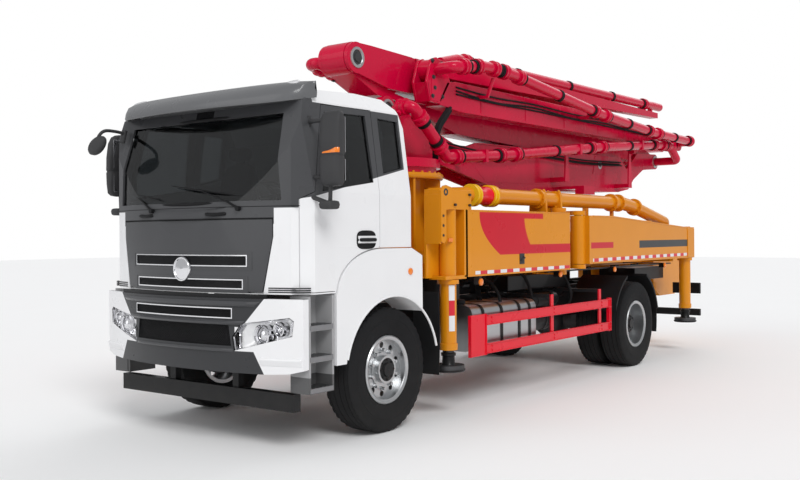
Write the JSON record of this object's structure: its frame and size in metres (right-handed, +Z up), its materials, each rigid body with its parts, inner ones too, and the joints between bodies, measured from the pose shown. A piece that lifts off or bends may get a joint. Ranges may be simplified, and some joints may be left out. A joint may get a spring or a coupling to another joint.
{
  "type": "concrete pump truck",
  "caption": "Two-axle concrete pump truck with tilting cab, folding placing boom on a slewing turret, swing-out outriggers and rear hopper.",
  "frame": {"origin": "on the ground, under the centre of the truck's bounding box", "axes": "+Z up, the truck faces -Y, +X is its left (driver's) side"},
  "size_m": [2.82, 10.0599, 3.762],
  "materials": {
    "axle_black": "matt",
    "black_plastic": "matt",
    "boom_red": "gloss",
    "cylinder_grey": "satin",
    "dark_grey": "gloss",
    "engine_grey": "matt",
    "frame_black": "satin",
    "glass": "tinted",
    "guard_red": "gloss",
    "interior": "woven",
    "lamp_glass": "clear",
    "machine_yellow": "gloss",
    "rim_silver": "satin",
    "rod_chrome": "polished",
    "step_grey": "satin",
    "tank_aluminium": "brushed",
    "tyre": "worn matt",
    "white_paint": "gloss"
  },
  "bodies": {
    "chassis": {"chassis_frame": "frame_black", "engine_block": "engine_grey", "axles": "axle_black", "front_bumper": "white_paint", "bumper_grille": "black_plastic", "headlamps": "lamp_glass", "entry_steps": "step_grey", "fenders": "white_paint", "rear_mudguards": "frame_black", "fuel_tank": "tank_aluminium", "right_side_boxes": "frame_black", "side_guards": "guard_red", "deck_frame": "machine_yellow", "slew_pedestal": "machine_yellow", "pump_cylinders": "cylinder_grey", "hopper": "machine_yellow", "rear_lamps": "frame_black", "deck_pipe": "machine_yellow"},
    "cab": {"cab_shell": "white_paint", "windscreen": "glass", "quarter_windows": "glass", "cab_interior": "interior"},
    "front_lid": {"front_lid": "dark_grey"},
    "hopper_grate": {"hopper_grate": "machine_yellow"},
    "turret": {"turret": "boom_red"},
    "arm_1": {"arm_1": "boom_red"},
    "arm_2": {"arm_2": "boom_red"},
    "arm_3": {"arm_3": "boom_red"},
    "arm_4": {"arm_4": "boom_red"},
    "arm_5": {"arm_5": "boom_red"},
    "lift_barrel": {"lift_barrel": "cylinder_grey"},
    "lift_rod": {"lift_rod": "rod_chrome"},
    "knee_barrel": {"knee_barrel": "cylinder_grey"},
    "knee_rod": {"knee_rod": "rod_chrome"},
    "left_door": {"left_door": "white_paint", "left_door_glass": "glass", "left_mirror": "black_plastic"},
    "left_knuckle": {"left_knuckle": "axle_black"},
    "front_left_wheel": {"front_left_tyre": "tyre", "front_left_rim": "rim_silver"},
    "rear_left_wheels": {"rear_left_tyres": "tyre", "rear_left_rims": "rim_silver"},
    "front_left_outrigger": {"front_left_outrigger": "machine_yellow"},
    "front_left_jack": {"front_left_jack": "rod_chrome"},
    "rear_left_outrigger": {"rear_left_outrigger": "machine_yellow"},
    "rear_left_jack": {"rear_left_jack": "rod_chrome"},
    "right_door": {"right_door": "white_paint", "right_door_glass": "glass", "right_mirror": "black_plastic"},
    "right_knuckle": {"right_knuckle": "axle_black"},
    "front_right_wheel": {"front_right_tyre": "tyre", "front_right_rim": "rim_silver"},
    "rear_right_wheels": {"rear_right_tyres": "tyre", "rear_right_rims": "rim_silver"},
    "front_right_outrigger": {"front_right_outrigger": "machine_yellow"},
    "front_right_jack": {"front_right_jack": "rod_chrome"},
    "rear_right_outrigger": {"rear_right_outrigger": "machine_yellow"},
    "rear_right_jack": {"rear_right_jack": "rod_chrome"}
  },
  "joints": [
    {"name": "cab_tilt", "type": "hinge", "parent": "chassis", "child": "cab", "pos_m": [0, -4.915, 0.72], "axis": [1, 0, 0], "range_deg": [0, 55]},
    {"name": "front_lid_hinge", "type": "hinge", "parent": "cab", "child": "front_lid", "pos_m": [0, -4.958, 1.839], "axis": [-1, 0, 0], "range_deg": [0, 75]},
    {"name": "left_door_hinge", "type": "hinge", "parent": "cab", "child": "left_door", "pos_m": [1.214, -4.754, 1.6], "axis": [0, 0, -1], "range_deg": [0, 68]},
    {"name": "left_steer", "type": "hinge", "parent": "chassis", "child": "left_knuckle", "pos_m": [0.88, -3.7, 0.542], "axis": [0, 0, 1], "range_deg": [-38, 38]},
    {"name": "front_left_spin", "type": "hinge", "parent": "left_knuckle", "child": "front_left_wheel", "pos_m": [1.03, -3.7, 0.542], "axis": [1, 0, 0], "continuous": true},
    {"name": "rear_left_spin", "type": "hinge", "parent": "chassis", "child": "rear_left_wheels", "pos_m": [1.09, 1.43, 0.542], "axis": [1, 0, 0], "continuous": true},
    {"name": "front_left_swing", "type": "hinge", "parent": "chassis", "child": "front_left_outrigger", "pos_m": [1.09, -0.43, 1.6], "axis": [0, 0, 1], "range_deg": [0, 100]},
    {"name": "front_left_jack_slide", "type": "slide", "parent": "front_left_outrigger", "child": "front_left_jack", "axis": [0, 0, -1], "range_m": [0, 0.5]},
    {"name": "rear_left_swing", "type": "hinge", "parent": "chassis", "child": "rear_left_outrigger", "pos_m": [1.09, 0.06, 1.6], "axis": [0, 0, -1], "range_deg": [0, 75]},
    {"name": "rear_left_jack_slide", "type": "slide", "parent": "rear_left_outrigger", "child": "rear_left_jack", "axis": [0, 0, -1], "range_m": [0, 0.5]},
    {"name": "right_door_hinge", "type": "hinge", "parent": "cab", "child": "right_door", "pos_m": [-1.214, -4.754, 1.6], "axis": [0, 0, 1], "range_deg": [0, 68]},
    {"name": "right_steer", "type": "hinge", "parent": "chassis", "child": "right_knuckle", "pos_m": [-0.88, -3.7, 0.542], "axis": [0, 0, 1], "range_deg": [-38, 38]},
    {"name": "front_right_spin", "type": "hinge", "parent": "right_knuckle", "child": "front_right_wheel", "pos_m": [-1.03, -3.7, 0.542], "axis": [1, 0, 0], "continuous": true},
    {"name": "rear_right_spin", "type": "hinge", "parent": "chassis", "child": "rear_right_wheels", "pos_m": [-1.09, 1.43, 0.542], "axis": [1, 0, 0], "continuous": true},
    {"name": "front_right_swing", "type": "hinge", "parent": "chassis", "child": "front_right_outrigger", "pos_m": [-1.09, -0.43, 1.6], "axis": [0, 0, -1], "range_deg": [0, 100]},
    {"name": "front_right_jack_slide", "type": "slide", "parent": "front_right_outrigger", "child": "front_right_jack", "axis": [0, 0, -1], "range_m": [0, 0.5]},
    {"name": "rear_right_swing", "type": "hinge", "parent": "chassis", "child": "rear_right_outrigger", "pos_m": [-1.09, 0.06, 1.6], "axis": [0, 0, 1], "range_deg": [0, 75]},
    {"name": "rear_right_jack_slide", "type": "slide", "parent": "rear_right_outrigger", "child": "rear_right_jack", "axis": [0, 0, -1], "range_m": [0, 0.5]},
    {"name": "grate_hinge", "type": "hinge", "parent": "chassis", "child": "hopper_grate", "pos_m": [0, 4.685, 1.438], "axis": [-1, 0, 0], "range_deg": [0, 95]},
    {"name": "turret_slew", "type": "hinge", "parent": "chassis", "child": "turret", "pos_m": [0, -2.23, 2.46], "axis": [0, 0, 1], "range_deg": [-100, 100]},
    {"name": "arm_1_lift", "type": "hinge", "parent": "turret", "child": "arm_1", "pos_m": [0, -2.5, 3], "axis": [1, 0, 0], "range_deg": [0, 88]},
    {"name": "arm_2_fold", "type": "hinge", "parent": "arm_1", "child": "arm_2", "pos_m": [0, 4.6, 2.86], "axis": [-1, 0, 0], "range_deg": [0, 180]},
    {"name": "arm_3_fold", "type": "hinge", "parent": "arm_2", "child": "arm_3", "pos_m": [0, -2.92, 3.47], "axis": [1, 0, 0], "range_deg": [0, 180]},
    {"name": "arm_4_fold", "type": "hinge", "parent": "arm_3", "child": "arm_4", "pos_m": [0, 4.9, 3.17], "axis": [-1, 0, 0], "range_deg": [0, 180]},
    {"name": "arm_5_fold", "type": "hinge", "parent": "arm_4", "child": "arm_5", "pos_m": [0, -1.96, 3.45], "axis": [1, 0, 0], "range_deg": [0, 180]},
    {"name": "lift_barrel_swing", "type": "hinge", "parent": "turret", "child": "lift_barrel", "pos_m": [0, -2.15, 2.58], "axis": [1, 0, 0], "range_deg": [0, 90]},
    {"name": "lift_rod_slide", "type": "slide", "parent": "lift_barrel", "child": "lift_rod", "axis": [0, 0.9999, -0.0167], "range_m": [0, 0.769]},
    {"name": "knee_rod_slide", "type": "slide", "parent": "knee_barrel", "child": "knee_rod", "axis": [0, 0.9993, 0.0363], "range_m": [0, 0.21]},
    {"name": "knee_barrel_swing", "type": "hinge", "parent": "arm_1", "child": "knee_barrel", "pos_m": [0, 2.55, 2.7], "axis": [1, 0, 0], "range_deg": [0, 3]}
  ],
  "couplings": [
    {"joint": "right_steer", "follows": "left_steer", "ratio": 1},
    {"joint": "lift_barrel_swing", "follows": "arm_1_lift", "ratio": 0.98573},
    {"joint": "lift_rod_slide", "follows": "arm_1_lift", "m_per_rad": 0.49406},
    {"joint": "knee_rod_slide", "follows": "arm_2_fold", "m_per_rad": 0.06366},
    {"joint": "knee_barrel_swing", "follows": "arm_2_fold", "ratio": 0.01111}
  ]
}
